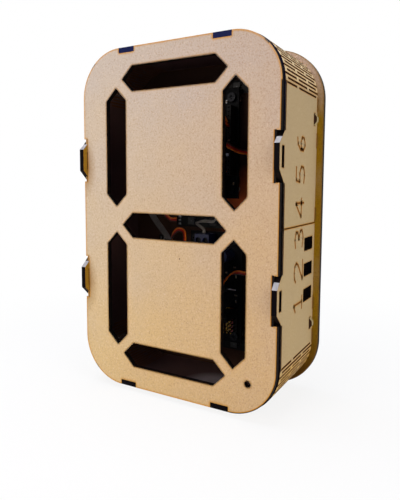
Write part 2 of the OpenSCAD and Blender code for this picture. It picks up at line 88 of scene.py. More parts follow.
SKY_STRENGTH = 0.42
world = bpy.data.worlds.new("studio")
world.use_nodes = True
tree = world.node_tree
tree.nodes.clear()
upness = add(tree, "SeparateXYZ", {0: add(tree, "TexCoord")}, out=2)
upness = add(tree, "MapRange", {0: upness, 1: -0.7, 2: 0.8})
sky_colour = add(tree, "Mix", {0: upness, 6: "#c8a888", 7: "#b4c0dc"}, out=2, data_type="RGBA")
sky = add(tree, "Background", {0: sky_colour, 1: SKY_STRENGTH})
white = add(tree, "Background", {0: "#ffffff", 1: 1.0})
surface = add(tree, "MixShader", {0: seen_as_background(tree), 1: sky, 2: white})
tree.links.new(surface, tree.nodes.new("ShaderNodeOutputWorld").inputs[0])
bpy.context.scene.world = world

LAMP_TARGET = Vector((0, 0, 0.1))
for name, place, size, power, colour in [("softbox_front", (-0.25, -0.95, 0.45), 0.5, 5.2, "#fff2e6"),
                                         ("softbox_right", (0.95, -0.35, 0.40), 0.5, 4.0, "#fff4e4"),
                                         ("softbox_top", (-0.10, -0.05, 0.90), 0.6, 6.0, "#eef2ff")]:
    lamp = bpy.data.lights.new(name, "AREA")
    lamp.size = size
    lamp.energy = power
    lamp.color = linear(colour)[:3]
    holder = bpy.data.objects.new(name, lamp)
    holder.location = place
    holder.rotation_euler = (LAMP_TARGET - Vector(place)).to_track_quat("-Z", "Y").to_euler()
    bpy.context.scene.collection.objects.link(holder)

bm = bmesh.new()
bmesh.ops.create_grid(bm, x_segments=1, y_segments=1, size=1.5)
floor_mesh = bpy.data.meshes.new("floor")
bm.to_mesh(floor_mesh)
bm.free()
floor = bpy.data.objects.new("floor", floor_mesh)
bpy.context.scene.collection.objects.link(floor)


def finish(name, roughness=0.5, metallic=0.0, ior=1.5, specular=0.5):
    """A new material, its node tree and its shader, with the values that are the same all over."""
    material = bpy.data.materials.new(name)
    material.use_nodes = True
    shader = material.node_tree.nodes["Principled BSDF"]
    shader.inputs["Roughness"].default_value = roughness
    shader.inputs["Metallic"].default_value = metallic
    shader.inputs["Specular IOR Level"].default_value = specular
    if not metallic:
        shader.inputs["IOR"].default_value = ior
    return material, material.node_tree, shader


# Matt white paper: as white as the background to the eye, with a faint shadow only close to the display.
SHADOW_REACH = (0.10, 0.32)
paper, tree, shader = finish("white_paper", 0.9)
shader.inputs["Base Color"].default_value = linear("#f0efec")
glow = add(tree, "Emission", {0: "#ffffff", 1: 1.0})
off_middle = add(tree, "VectorMath", {0: add(tree, "TexCoord", out=3)}, out=1, operation="LENGTH")
open_floor = add(tree, "MapRange", {0: off_middle, 1: SHADOW_REACH[0], 2: SHADOW_REACH[1], 3: 0.86, 4: 1.0},
                 interpolation_type="SMOOTHSTEP")
seen = add(tree, "Math", {0: seen_as_background(tree), 1: open_floor}, operation="MULTIPLY")
mixed = add(tree, "MixShader", {0: seen, 1: shader.outputs[0], 2: glow})
tree.links.new(mixed, tree.nodes["Material Output"].inputs[0])
floor_mesh.materials.append(paper)


# Front plate: 3 mm medium density fibreboard, pressed wood fibre, cut by laser with seven windows and a small
# hole, and pushed onto the side wall's tabs. The laser has charred each cut face nearly black and left a thin
# golden scorch beside it.
def corners(name):
    """The lowest and the highest corner of a CAD node, in metres."""
    places = [v.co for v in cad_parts[name].data.vertices]
    return [Vector([pick(p[i] for p in places) for i in range(3)]) for pick in (min, max)]


FRONT_LOW, FRONT_HIGH = corners("front_plate")
WALL_LOW, WALL_HIGH = corners("side_wall")
FACE_CENTRE = Vector((0.0, FRONT_LOW.y, (FRONT_LOW.z + FRONT_HIGH.z) / 2))
SHEET = 3.0
CORNER = 28.0
# Sizes of the board's patterns in mm. A real fibre is about 0.1 mm wide, too fine to show, so the flecks are
# drawn coarser, 1.3 and 1.2 to the millimetre. The clouds are where the sheet was pressed a little unevenly.
CLOUD = 35.7
DARK_FLECK = 1 / 1.3
PALE_FLECK = 1 / 1.2
CHAR_STREAK = 2.38
SCORCH_WAVE = 11.1
# How far the scorch reaches from a cut in mm, on the flat sheets and on the wrapped one.
FLAT_SCORCH, WRAPPED_SCORCH = 2.2, 1.6


def patches(tree, size, detail=2.0, stretch=None):
    """A cloudy pattern on object coordinates, with patches of the given size in mm."""
    place = add(tree, "TexCoord", out=3)
    if stretch:
        place = add(tree, "Mapping", {0: place, 3: stretch})
    return add(tree, "TexNoise", {"Vector": place, "Scale": 1000 / size, "Detail": detail})


def stain(board, share, colour, mode="MIX", layer="face"):
    """Lays a colour, a hex code or an output, by a share over what the board's face or char has so far."""
    below = getattr(board, layer)
    over = add(board.tree, "Mix", {0: share, 6: below, 7: colour}, out=2, data_type="RGBA", blend_type=mode)
    setattr(board, layer, over)


def start_board(name, head, foot, dark_fleck, pale_fleck, fade=(0.015, 0.20)):
    """A sheet's material: a tone at the foot that turns to the head's in soft clouds, flecks, and char."""
    material, tree, shader = finish(name, ior=1.45)
    board = SimpleNamespace(material=material, tree=tree, shader=shader, face=foot, char="#0b0909")
    board.place = add(tree, "TexCoord", out=3)
    board.x, board.y, board.z = add(tree, "SeparateXYZ", {0: board.place}).node.outputs
    board.normal = add(tree, "NewGeometry", out=1)
    _, board.look_y, board.look_z = add(tree, "SeparateXYZ", {0: board.normal}).node.outputs
    board.clouds = patches(tree, CLOUD, 3.0)
    height = add(tree, "MapRange", {0: board.z, 1: fade[0], 2: fade[1]})
    sway = add(tree, "MapRange", {0: board.clouds, 1: 0.3, 2: 0.7, 3: -0.16, 4: 0.16})
    board.tone = add(tree, "Math", {0: height, 1: sway}, operation="ADD", use_clamp=True)
    stain(board, board.tone, head)
    board.fibres = patches(tree, DARK_FLECK, 4.0)
    stain(board, add(tree, "MapRange", {0: board.fibres, 1: 0.49, 2: 0.80, 3: 0.0, 4: 0.7}), dark_fleck)
    pale = patches(tree, PALE_FLECK, 3.0, stretch=(1.0, 1.0, 0.7))
    stain(board, add(tree, "MapRange", {0: pale, 1: 0.55, 2: 0.82, 3: 0.0, 4: 0.65}), pale_fleck)
    board.streaks = patches(tree, CHAR_STREAK, 3.0, stretch=(1.0, 0.25, 1.0))
    stain(board, add(tree, "MapRange", {0: board.streaks, 1: 0.4, 2: 0.75}), "#1c120e", layer="char")
    return board


def scorch_lines(board, reach, colour, faintest=0.82, strongest=0.95):
    """A line along each cut, found where an edge rounded by a reach in mm would turn away from the face."""
    tree = board.tree
    rounded = add(tree, "Bevel", {"Radius": reach / 1000}, samples=6)
    board.turned = add(tree, "VectorMath", {0: rounded, 1: board.normal}, out=1, operation="DOT_PRODUCT")
    uneven = add(tree, "MapRange", {0: patches(tree, SCORCH_WAVE), 1: 0.3, 2: 0.7, 3: faintest, 4: strongest})
    stain(board, add(tree, "MapRange", {0: board.turned, 1: 0.995, 2: uneven, 3: 0.0, 4: 0.9}), colour)


def burn_and_shade_skins(board):
    """Colours the thin skins of the burn marks and of the painted shade strips. Their scorch value runs over
    gold and brown to black at 2.
    """
    mark = add(board.tree, "Attribute", out=2, attribute_name="scorch")
    for start, stop, colour in ((0.0, 0.5, "#b4802c"), (0.5, 1.0, "#6c3c0e"), (1.0, 2.0, "#0b0908")):
        stain(board, add(board.tree, "MapRange", {0: mark, 1: start, 2: stop}), colour)


def close_board(board, facing=None):
    """Chars the cut faces, which look another way than the sheet, and makes the char smoother and duller."""
    tree = board.tree
    if facing is None:
        facing = add(tree, "Math", {0: board.look_y}, operation="ABSOLUTE")
    cut = add(tree, "Math", {0: facing, 1: 0.8}, operation="LESS_THAN")
    stain(board, cut, board.char)
    tree.links.new(board.face, board.shader.inputs["Base Color"])
    fuzz = add(tree, "MapRange", {0: board.fibres, 1: 0.2, 2: 0.8, 3: 0.62, 4: 0.82})
    for socket, on_face, on_char in (("Roughness", fuzz, 0.5), ("Specular IOR Level", 0.12, 0.03)):
        tree.links.new(add(tree, "Mix", {0: cut, 2: on_face, 3: on_char}, data_type="FLOAT"),
                       board.shader.inputs[socket])
    relief = add(tree, "Bump", {"Height": board.fibres, "Strength": 0.25, "Distance": 0.00012})
    tree.links.new(relief, board.shader.inputs["Normal"])


def dress(material, *names):
    """Gives CAD nodes their finish."""
    for name in names:
        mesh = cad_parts[name].data
        mesh.materials.clear()
        mesh.materials.append(material)


# Places and reaches on the face in metres: the brown patches beside the left tabs, and half the field of the
# windows.
BROWN_PATCH_HEIGHTS, BROWN_PATCH_REACH = (0.137, 0.064), 0.010
HALF_FIELD_X, HALF_FIELD_Z = 0.058, 0.095
# Pressed fibreboard, sanded and matt. Its change from pinkish grey at the top to warm tan at the foot is
# painted light, a gradient in the colour in place of one from the lamps.
board = start_board("fibreboard_face", "#c1b6aa", "#d1b684", "#a08060", "#e8dac4")
tree = board.tree
# Painted shade darkens the face towards the right. Beside the left tabs the face is browned in two soft
# patches.
stain(board, add(tree, "MapRange", {0: board.x, 1: -0.055, 2: 0.06}), "#f2e8e3", "MULTIPLY")
squat = add(tree, "VectorMath", {0: board.place, 1: (1.0, 0.0, 0.5)}, operation="MULTIPLY")
for patch_z in BROWN_PATCH_HEIGHTS:
    tab = (FRONT_LOW.x, 0.0, patch_z / 2)
    off_tab = add(tree, "VectorMath", {0: squat, 1: tab}, out=1, operation="DISTANCE")
    stain(board, add(tree, "MapRange", {0: off_tab, 1: BROWN_PATCH_REACH, 2: 0.0, 3: 0.0, 4: 0.9}), "#8c6428")
scorch_lines(board, FLAT_SCORCH, "#bd8630", 0.92, 0.98)
# Round the windows, which all lie in one field of the face, the rim is blackened for about half a millimetre.
rim_share = add(tree, "MapRange", {0: board.turned, 1: 0.90, 2: 0.85})
for way, middle, half_field in ((board.x, FACE_CENTRE.x, HALF_FIELD_X),
                                (board.z, FACE_CENTRE.z, HALF_FIELD_Z)):
    off = add(tree, "Math", {0: way, 1: middle}, operation="SUBTRACT")
    off = add(tree, "Math", {0: off}, operation="ABSOLUTE")
    in_field = add(tree, "Math", {0: off, 1: half_field}, operation="LESS_THAN")
    rim_share = add(tree, "Math", {0: rim_share, 1: in_field}, operation="MULTIPLY")
stain(board, rim_share, "#0d0a09")
burn_and_shade_skins(board)
close_board(board)
face_sheet = board.material
dress(face_sheet, "front_plate")


# Side wall: one strip of the same board, wrapped round all four sides and bent at living hinges, which are
# rows of staggered slots. Its ends meet in a seam at mid-height on the right, and its tabs hold both plates.
def from_core(board):
    """The way out from the housing's straight core. It points square to the wall, round the corners too."""
    parts = []
    for way, low, high in ((board.x, WALL_LOW.x, WALL_HIGH.x), (board.z, WALL_LOW.z, WALL_HIGH.z)):
        core = add(board.tree, "Clamp", {0: way, 1: low + CORNER / 1000, 2: high - CORNER / 1000})
        parts.append(add(board.tree, "Math", {0: way, 1: core}, operation="SUBTRACT"))
    return add(board.tree, "CombineXYZ", {0: parts[0], 2: parts[1]})


# A painted pool of light on the floor inside, where light falls in through the bottom window, in metres.
INNER_LIT_PLACE, INNER_LIT_REACH, INNER_LIT_CORE = (0.016, -0.010, 0.006), 0.022, 0.012
# Pressed fibreboard that laser smoke has tinted: a matt straw colour, toasted paler between the hinge slots
# and golden on the tabs' inner faces. Inside the housing its faces carry painted shade, a dull plum grey.
board = start_board("fibreboard_wall", "#b7a37f", "#bfa77a", "#a08b63", "#cbbb97")
tree = board.tree
outwards = add(tree, "VectorMath", {0: from_core(board)}, operation="NORMALIZE")
facing = add(tree, "VectorMath", {0: outwards, 1: board.normal}, out=1, operation="DOT_PRODUCT")
inside = add(tree, "Math", {0: facing, 1: -0.5}, operation="LESS_THAN")
proud = add(tree, "Math", {0: board.y, 1: FRONT_LOW.y - 0.00005}, operation="LESS_THAN")
painted_inner_shade = add(tree, "Math", {0: inside, 1: proud}, operation="SUBTRACT", use_clamp=True)
golden = add(tree, "Math", {0: inside, 1: proud}, operation="MULTIPLY")
stain(board, golden, "#94701e")
# How far a place is round a bend: 0.6 on the straight sides and 0.85 in the middle of a corner.
bend = add(tree, "VectorMath", {0: outwards}, operation="ABSOLUTE")
bend = add(tree, "VectorMath", {0: bend, 1: (0.6, 0.0, 0.6)}, out=1, operation="DOT_PRODUCT")
toasted = add(tree, "Mix", {0: board.tone, 6: "#e0b45c", 7: "#e8d6ac"}, out=2, data_type="RGBA")
stain(board, add(tree, "MapRange", {0: bend, 1: 0.61, 2: 0.70, 3: 0.0, 4: 0.8}), toasted)
scorch_lines(board, WRAPPED_SCORCH, "#bd8630")
stain(board, add(tree, "MapRange", {0: board.turned, 1: 0.84, 2: 0.72, 3: 0.0, 4: 0.9}), "#3a2008")
# Painted shade: the faces inside the housing are darkened to a dull plum grey, in clouds.
inner_shade_colour = add(tree, "Mix", {0: board.clouds, 6: "#443634", 7: "#523634"}, out=2, data_type="RGBA")
stain(board, painted_inner_shade, inner_shade_colour)
# Painted light: a pale greyish patch on the inner floor, where light comes in through the bottom window.
inner_lit_patch = add(tree, "VectorMath", {0: board.place, 1: INNER_LIT_PLACE}, out=1, operation="DISTANCE")
inner_lit_patch = add(tree, "MapRange", {0: inner_lit_patch, 1: INNER_LIT_REACH, 2: INNER_LIT_CORE})
stain(board, add(tree, "Math", {0: inner_lit_patch, 1: painted_inner_shade}, operation="MULTIPLY"), "#8c8286")
burn_and_shade_skins(board)
# Char on the tabs' ends, brown-black below and bluish above, where the blue is a painted reflection of the
# cool light from above. Those slopes of the tabs that look up get a pale grey painted highlight.
char_with_painted_sky_tint = add(tree, "MapRange", {0: board.z, 1: 0.15, 2: 0.205})
char_with_painted_sky_tint = add(tree, "Mix", {0: char_with_painted_sky_tint, 6: "#080508", 7: "#161d44"}, out=2, data_type="RGBA")
stain(board, add(tree, "Math", {0: board.look_y, 1: -0.9}, operation="LESS_THAN"), char_with_painted_sky_tint, layer="char")
# Painted highlight: pale grey on the slopes that look up and stand proud of the face, as if lit from above.
upward = add(tree, "Math", {0: board.look_z, 1: 0.4}, operation="GREATER_THAN")
forward = add(tree, "Math", {0: board.look_y, 1: -0.3}, operation="LESS_THAN")
slope = add(tree, "Math", {0: upward, 1: forward}, operation="MULTIPLY")
slope = add(tree, "Math", {0: slope, 1: proud}, operation="MULTIPLY")
painted_top_highlight = add(tree, "Mix", {0: board.streaks, 6: "#7e7f86", 7: "#c6c6c8"}, out=2, data_type="RGBA")
stain(board, slope, painted_top_highlight, layer="char")
close_board(board, add(tree, "Math", {0: facing}, operation="ABSOLUTE"))
wall_sheet = board.material
dress(wall_sheet, "side_wall")


# Mounting plate: the same board inside the housing, held by barbs that pass through slots near the wall's
# rear edge. It carries the light strips and both circuit boards.
SHADE_SHARE = 0.85
SHADE_CLOUD = 45.5
PLATE_LIT_PLACE, PLATE_LIT_REACH, PLATE_LIT_CORE = (0.027, 0.022, 0.113), 0.028, 0.008
# Pressed fibreboard with painted shade: dark brown all over, darker in clouds, for the shade inside the
# housing, and a painted pool of reddish light behind the upper right window. The cut faces of the barbs'
# tips, outside the wall, are pale tan.
board = start_board("fibreboard_painted_shade", "#40281a", "#402416", "#24120a", "#54341e")
tree = board.tree
# Painted shade: darker clouds over the dark brown.
shade_clouds = patches(tree, SHADE_CLOUD, 4.0)
shade_clouds = add(tree, "MapRange", {0: shade_clouds, 1: 0.35, 2: 0.65, 3: SHADE_SHARE / 2, 4: SHADE_SHARE})
stain(board, shade_clouds, "#362620")
# Painted light: a reddish pool of light on the plate behind the upper right window.
plate_lit_patch = add(tree, "VectorMath", {0: board.place, 1: PLATE_LIT_PLACE}, out=1, operation="DISTANCE")
stain(board, add(tree, "MapRange", {0: plate_lit_patch, 1: PLATE_LIT_REACH, 2: PLATE_LIT_CORE, 3: 0.0, 4: 0.9}), "#c85a28")
scorch_lines(board, FLAT_SCORCH, "#3a2210")
out_of_wall = add(tree, "Math", {0: board.x}, operation="ABSOLUTE")
out_of_wall = add(tree, "Math", {0: out_of_wall, 1: WALL_HIGH.x + 0.0001}, operation="GREATER_THAN")
stain(board, out_of_wall, "#ab9a70", layer="char")
close_board(board)
dress(board.material, "mounting_plate")


# Back plate: the same board, wider and taller than the front. The wall's rear tabs pass through it, and its
# lower edge is the foot that the display stands on.
# Heights in metres between which painted light pales the top and painted shade darkens the foot.
PAINTED_LIT_TOP = (0.165, 0.203)
PAINTED_SHADE_FOOT = (0.045, 0.010)
# Pressed fibreboard, plain tan behind. On the front, the rim that stands past the wall is painted deep golden
# for the light and shade on it, paler at the very top with painted light, darker at the foot with painted
# shade, and painted nearly black inside the wall for the shade there.
board = start_board("fibreboard_back", "#bda79a", "#94700f", "#745410", "#a88424", fade=PAINTED_LIT_TOP)
tree = board.tree
# Painted shade: darker towards the foot.
foot = add(tree, "MapRange", {0: board.z, 1: PAINTED_SHADE_FOOT[0], 2: PAINTED_SHADE_FOOT[1], 3: 0.0, 4: 0.85})
stain(board, foot, "#4a2c08")
rear = add(tree, "Math", {0: board.look_y, 1: 0.5}, operation="GREATER_THAN")
plain = add(tree, "MapRange", {0: board.z, 1: 0.0, 2: 0.2})
plain = add(tree, "Mix", {0: plain, 6: "#c2a478", 7: "#c2b098"}, out=2, data_type="RGBA")
stain(board, add(tree, "Math", {0: rear, 1: 0.8}, operation="MULTIPLY"), plain)
# Painted shade: the front face inside the wall is nearly black.
within = add(tree, "VectorMath", {0: from_core(board)}, out=1, operation="LENGTH")
within = add(tree, "Math", {0: within, 1: (CORNER - SHEET + 0.2) / 1000}, operation="LESS_THAN")
hidden = add(tree, "Math", {0: board.look_y, 1: -0.5}, operation="LESS_THAN")
stain(board, add(tree, "Math", {0: hidden, 1: within}, operation="MULTIPLY"), "#180b07")
scorch_lines(board, FLAT_SCORCH, "#7c5c26")
close_board(board)
dress(board.material, "back_plate")


# Engraved digits: a column of plain numbers cut shallowly by the laser into the right side wall, with a
# golden scorch that fades into the board. Each stroke is a thin skin on the wall in the wall's own board.
def spot(x, depth, z):
    """A point from its distance to the right of the middle, behind the face and above its centre, in mm."""
    return FACE_CENTRE + Vector((x, depth, z)) / 1000


def box(name):
    """A CAD node's lowest and highest corner, in mm as spot takes them."""
    return [(corner - FACE_CENTRE) * 1000 for corner in corners(name)]


def new_piece(bm, name, material, slot, *replaced, smooth=False):
    """Turns a bmesh into a piece that rides on the housing."""
    bmesh.ops.recalc_face_normals(bm, faces=bm.faces)
    mesh = bpy.data.meshes.new(name)
    bm.to_mesh(mesh)
    bm.free()
    mesh.materials.append(material)
    if smooth:
        mesh.shade_smooth()
    piece = bpy.data.objects.new(name, mesh)
    bpy.context.scene.collection.objects.link(piece)
    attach(piece, "root")
    if replaced:
        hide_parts(*replaced)
    return piece


FACE_X = box("front_plate")[1].x
WALL_X, WALL_Z = box("side_wall")[1].x, box("side_wall")[1].z
# How far a skin lies off the board.
SKIN = 0.03
# Strokes on a field 4 wide and 6 high, read with the display lying on its left side.
FIELD_WIDE, FIELD_HIGH = 4, 6
DIGIT_STROKES = {
    "1": [[(1, 4.6), (2.3, 6), (2.3, 0)], [(1, 0), (3.4, 0)]],
    "2": [[(0.4, 4.8), (1, 5.7), (2, 6), (3.2, 5.6), (3.6, 4.5), (3.1, 3.2), (0.4, 0), (3.8, 0)]],
    "3": [[(0.5, 5.4), (2, 6), (3.4, 5.3), (3.3, 3.9), (1.8, 3.2), (3.5, 2.3), (3.6, 0.9), (2, 0),
           (0.4, 0.7)]],
    "4": [[(3.0, 0), (3.0, 6), (0.3, 1.9), (3.9, 1.9)]],
    "5": [[(3.5, 6), (0.9, 6), (0.6, 3.3), (2.2, 3.7), (3.6, 2.6), (3.5, 0.8), (2, 0), (0.4, 0.6)]],
    "6": [[(3.2, 5.6), (1.8, 5.2), (0.7, 3.4), (0.6, 1.4), (1.8, 0), (3.3, 0.8), (3.4, 2.4), (2, 3.3),
           (0.7, 2.2)]],
}
# Each digit's upper and lower end on the wall, above the plate's centre.
DIGIT_ENDS = {"6": (50.4, 40.0), "5": (33.9, 22.5), "4": (15.7, 3.6), "3": (-1.2, -13.6), "2": (-19.0, -32.6),
              "1": (-38.4, -51.6)}
DIGIT_DEPTH, DIGIT_TALL = 21.6, 14.0
STROKE_HALF = 0.62
# How burnt a stroke is across its width, in half widths from its middle.
STROKE_BURN = ((-2.2, 0.0), (-1.0, 0.4), (-0.5, 1.0), (0.5, 1.0), (1.0, 0.4), (2.2, 0.0))


def right_wall(depth, height):
    """A point just above the right side wall."""
    return spot(WALL_X + SKIN, depth, height)


def burn_and_shade_line(bm, line, half, burn, place=right_wall, lap=0.4):
    """A thin skin along a line on a surface. The burn says how dark it is at each offset, in half widths;
    some skins are char and some painted shade.
    """
    layer = bm.verts.layers.float.get("scorch") or bm.verts.layers.float.new("scorch")
    for start, stop in zip(line, line[1:]):
        start, stop = Vector(start), Vector(stop)
        run = (stop - start).normalized()
        side = Vector((-run.y, run.x))
        strip = bmesh.ops.create_grid(bm, x_segments=1, y_segments=len(burn) - 1, size=0.5)["verts"]
        ends = ((start, -lap), (stop, lap))
        for vert, ((offset, mark), (end, past)) in zip(strip, itertools.product(burn, ends)):
            vert.co = place(*(end + side * offset * half + run * past * half))
            vert[layer] = mark


bm = bmesh.new()
for digit, (upper, lower) in DIGIT_ENDS.items():
    for line in DIGIT_STROKES[digit]:
        on_wall = [(DIGIT_DEPTH + DIGIT_TALL * (1 - v / FIELD_HIGH), lower + (upper - lower) * u / FIELD_WIDE)
                   for u, v in line]
        burn_and_shade_line(bm, on_wall, STROKE_HALF, STROKE_BURN)
new_piece(bm, "engraved_digits", wall_sheet, "board_wall")


# Burn marks: what the laser left beside its cuts in the wall, at the seam, the rear tabs and the hinge slots,
# and at the front edge a black strip that is the char of the cut and painted shade of the gap under the front
# plate.
# They are the same thin skin in the wall's board as the digits, burnt on one side only.
# In mm: off is from the seam's line, from, to and depth are behind the face, reach is along the edge, and
# half is a skin's half width, in which its burn counts.
SEAM_OFF, SEAM_HALF, SEAM_FROM, SEAM_TO = 0.53, 0.66, 3.4, 56.6
REAR_TABS, REAR_DEPTH, REAR_REACH, REAR_HALF = (70, 49, 5, -49, -70), 56.3, 4, 1.2
REAR_BURN = ((-0.5, 1.4), (0.0, 0.8), (0.8, 0.0))
FRONT_DEPTH, FRONT_HALF = 3.6, 0.5
FRONT_CHAR_AND_SHADE = ((1.0, 2.0), (-1.2, 2.0), (-2.0, 0.7), (-2.9, 0.0))
TAB_CENTRE, TAB_CLEAR = 36.8, 13.4
STRAIGHT_X, STRAIGHT_Z = FACE_X - CORNER, WALL_Z - CORNER
WALL_STRAIGHT_X = WALL_X - CORNER
# The runs of the side edges that no tab interrupts.
plain_runs = ((STRAIGHT_Z, TAB_CENTRE + TAB_CLEAR), (TAB_CENTRE - TAB_CLEAR, TAB_CLEAR - TAB_CENTRE),
              (-TAB_CENTRE - TAB_CLEAR, -STRAIGHT_Z))
bm = bmesh.new()
for above in (-1, 1):
    seam_burn = ((-0.5, 1.0 if above > 0 else 0.0), (0.0, 0.45), (0.5, 0.0 if above > 0 else 1.0))
    burn_and_shade_line(bm, [(SEAM_FROM, above * SEAM_OFF), (SEAM_TO, above * SEAM_OFF)], SEAM_HALF, seam_burn)
for z in REAR_TABS:
    burn_and_shade_line(bm, [(REAR_DEPTH, z - REAR_REACH), (REAR_DEPTH, z + REAR_REACH)], REAR_HALF, REAR_BURN)
# Char of the cut and painted shade of the gap: a black strip along the wall where it meets the front plate.
for high_end, low_end in plain_runs:
    for place in (right_wall, lambda depth, height: spot(-WALL_X - SKIN, depth, height)):
        burn_and_shade_line(bm, [(FRONT_DEPTH, low_end), (FRONT_DEPTH, high_end)], FRONT_HALF, FRONT_CHAR_AND_SHADE, place)
# A hinge slot widens into char along both sides. Its cut narrows towards the far side, so inside the housing
# a brown lip nearly closes it. Every other row of slots round a corner is staggered. The char stops short of
# a slot's ends by SLOT_END.
HINGE_ROWS, HINGE_STEP, SLOT_HALF, SLOT_END = 21, math.radians(4.5), 0.25, 0.1
HINGE_SLOTS = (((3.1, 20.0), (23.2, 53.7)), ((6.3, 36.8), (40.0, 56.9)))
outer_char = (CORNER + SKIN, ((1.0, 2.0), (1.4, 1.7), (2.6, 0.4)))
inner_char = (CORNER - SHEET - SKIN, ((0.02, 1.5), (1.2, 1.5), (1.8, 1.1)))
for right, above, row, (radius, slot_burn) in itertools.product((-1, 1), (-1, 1), range(HINGE_ROWS),
                                                                (outer_char, inner_char)):
    def on_corner(depth, along):
        """A point on the corner's curve, from the way along it and off this row's line."""
        turn = row * HINGE_STEP + along / radius
        return spot(right * (WALL_STRAIGHT_X + radius * math.cos(turn)), depth,
                    above * (STRAIGHT_Z + radius * math.sin(turn)))

    for start, stop in HINGE_SLOTS[row % 2]:
        for side in (-1, 1):
            burn_and_shade_line(bm, [(start + SLOT_END, 0), (stop - SLOT_END, 0)], SLOT_HALF,
                       [(side * off, mark) for off, mark in slot_burn], on_corner)
new_piece(bm, "burn_and_shade_marks", wall_sheet, "board_wall")


# Face marks: black strips on the front plate's right rim, down the side and round the lower corner, and on
# the upright edges of the side notches, for some tenths of a millimetre. They are the char of the cut and
# painted shade of the gap beside it. The sheet also has a dark speck. All are thin skins in the face's own
# board, and their burn values count in RIM_UNIT, a millimetre.
NOTCH_X, NOTCH_REACH, RIM_UNIT = 63.0, 13.0, 1.0
RIM_CHAR_AND_SHADE = ((0.0, 2.0), (-0.3, 2.0), (-0.5, 0.6), (-1.2, 0.0))
NOTCH_CHAR_AND_SHADE = ((0.0, 2.0), (0.9, 2.0), (1.3, 0.6), (2.0, 0.0))
CORNER_PARTS = 30
SPECK, SPECK_RADIUS, SPECK_BURN = (5.6, -19.7), 0.4, 1.8


def on_face(x, z, out=0.02):
    """A point just in front of the face."""
    return spot(x, -out, z)


def round_lower_corner(off, along):
    """A point on the face round its lower right corner, from the way off the edge and along it."""
    return on_face(STRAIGHT_X + (CORNER + off) * math.cos(along / CORNER),
                   -STRAIGHT_Z + (CORNER + off) * math.sin(along / CORNER))


bm = bmesh.new()
scorch_layer = bm.verts.layers.float.new("scorch")
# Char of the cut and painted shade of the gap: black strips along the right rim and round its lower corner.
for high_end, low_end in plain_runs:
    burn_and_shade_line(bm, [(FACE_X, high_end), (FACE_X, low_end)], RIM_UNIT, RIM_CHAR_AND_SHADE, on_face)
quarter = CORNER * math.pi / 2
burn_and_shade_line(bm, [(0, -quarter * k / CORNER_PARTS) for k in range(CORNER_PARTS + 1)], RIM_UNIT, RIM_CHAR_AND_SHADE,
           round_lower_corner, lap=0)
# Char of the cut and painted shade of the gap: black strips along the upright edges of the notches.
for right, above in itertools.product((-1, 1), (-1, 1)):
    notch = above * TAB_CENTRE
    burn_and_shade_line(bm, [(NOTCH_X, notch - NOTCH_REACH), (NOTCH_X, notch + NOTCH_REACH)], RIM_UNIT,
               NOTCH_CHAR_AND_SHADE if right > 0 else RIM_CHAR_AND_SHADE, lambda x, z: on_face(right * x, z))
speck = bmesh.ops.create_circle(bm, cap_ends=True, segments=9, radius=SPECK_RADIUS / 1000)["verts"]
bmesh.ops.rotate(bm, verts=speck, matrix=Matrix.Rotation(math.pi / 2, 3, "X"))
bmesh.ops.translate(bm, vec=on_face(*SPECK, out=SKIN), verts=speck)
for vert in speck:
    vert[scorch_layer] = SPECK_BURN
new_piece(bm, "face_marks", face_sheet, "board_face")


# Leads: three soft wires in brown, red and orange, moulded side by side into a flat band, as sold for light
# strips, and soldered or plugged in at both ends. They replace the plain bands. The grey four-way ribbon and
# the pale twin lead are made the same way.
def mottled(name, low, high, patch, roughness=0.5, metallic=0.0, ior=1.5, specular=0.5, grain=0.0, detail=2.0,
            stretch=None):
    """A finish whose colour wanders between two tones in patches of a size in mm, with a grain if asked."""
    # The real unevenness of a melt, a plating or a moulding is too fine to show, so it is drawn at 1 to 4 mm.
    material, tree, shader = finish(name, roughness, metallic, ior, specular)
    wander = patches(tree, patch, detail, stretch)
    tree.links.new(add(tree, "Mix", {0: wander, 6: low, 7: high}, out=2, data_type="RGBA"),
                   shader.inputs["Base Color"])
    if grain:
        relief = add(tree, "Bump", {"Height": wander, "Strength": grain, "Distance": 0.00005})
        tree.links.new(relief, shader.inputs["Normal"])
    return material


def sleeve(name, code, roughness=0.38):
    """Extruded soft vinyl: one strong colour with a slight shine, dulled in places by handling."""
    material, tree, shader = finish(name, roughness)
    dull = add(tree, "MapRange", {0: patches(tree, 3.33), 1: 0.3, 2: 0.7, 3: 0.0, 4: 0.22})
    tree.links.new(add(tree, "Mix", {0: dull, 6: code, 7: "#0c0806"}, out=2, data_type="RGBA"),
                   shader.inputs["Base Color"])
    return material


three_sleeves = (sleeve("wire_sleeve_orange", "#e8761a"), sleeve("wire_sleeve_red", "#c01808"),
                 sleeve("wire_sleeve_brown", "#4a2412"))
grey_sleeve = sleeve("wire_sleeve_grey", "#4c4644", 0.6)
pale_sleeve = sleeve("wire_sleeve_pale", "#948e86", 0.45)
STEPS = 8
WIRE_GAP = 1.05
WIRE_RADIUS = 0.52
ACROSS, BACK, UP, DOWN = (1, 0, 0), (-1, 0, 0), (0, 0, 1), (0, 0, -1)
STRIP_FACE = box("strip_a")[0].y
SOCKET_FACE = box("socket_strips")[0].y
# The depth of a lead's middle line where it is soldered to a strip, and where it arches from strip to strip.
LOW = STRIP_FACE + 0.15
ARCH = STRIP_FACE - 0.35


def through(points):
    """A smooth line through the points, with its headings."""
    line = []
    for i in range(len(points) - 1):
        a, b, c, d = (points[max(0, min(len(points) - 1, i + k))] for k in (-1, 0, 1, 2))
        square = 2 * a - 5 * b + 4 * c - d
        cube = 3 * b - 3 * c + d - a
        last = i == len(points) - 2
        for step in range(STEPS + last):
            t = step / STEPS
            place = 0.5 * (2 * b + (c - a) * t + square * t * t + cube * t ** 3)
            course = 0.5 * ((c - a) + 2 * square * t + 3 * cube * t * t)
            line.append((place, course.normalized()))
    return line


